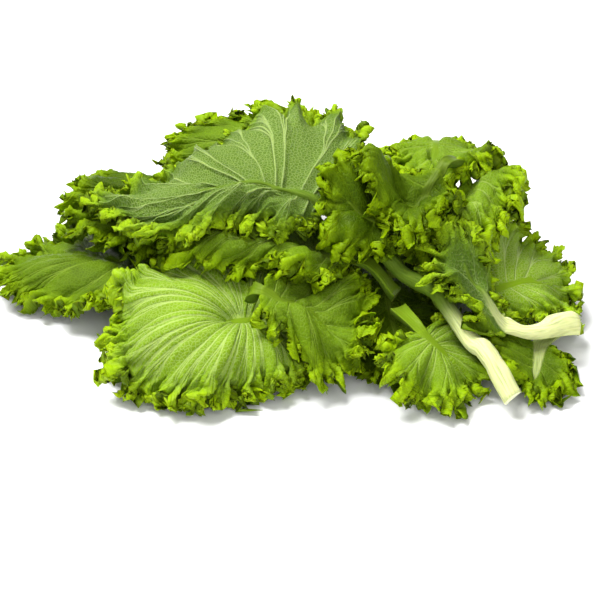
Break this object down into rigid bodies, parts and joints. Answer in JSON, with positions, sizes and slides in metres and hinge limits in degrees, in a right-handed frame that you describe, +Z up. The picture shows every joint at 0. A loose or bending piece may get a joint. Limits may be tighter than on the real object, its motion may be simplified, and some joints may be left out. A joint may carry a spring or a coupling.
{
  "type": "mustard greens",
  "caption": "Loose bunch of curly mustard greens lying in a heap: frilled green leaves with net veins, some showing grey-green undersides, and pale cut stalks at one side.",
  "frame": {"origin": "middle of the heap's bounding box, on the surface it lies on", "axes": "+X along the heap's length, from the curled leaf tips towards the cut stalks; +Y from the front of the heap to its back; +Z up"},
  "size_m": [0.4512, 0.3104, 0.1437],
  "materials": {
    "leaf": "satin",
    "leaf_underside": "matt"
  },
  "bodies": {
    "root": {"leaf_back_left": "leaf", "leaf_back_right": "leaf", "leaf_far_left": "leaf", "leaf_left_low": "leaf", "leaf_front_low": "leaf", "leaf_front": "leaf", "leaf_front_right": "leaf", "leaf_right_low": "leaf", "leaf_right": "leaf", "leaf_front_middle": "leaf", "leaf_middle": "leaf", "leaf_back": "leaf", "leaf_back_middle": "leaf", "leaf_right_back": "leaf", "leaf_right_high": "leaf", "leaf_back_high": "leaf", "leaf_top": "leaf_underside", "leaf_right_mid": "leaf_underside", "leaf_centre_low": "leaf", "leaf_centre": "leaf"}
  },
  "joints": []
}
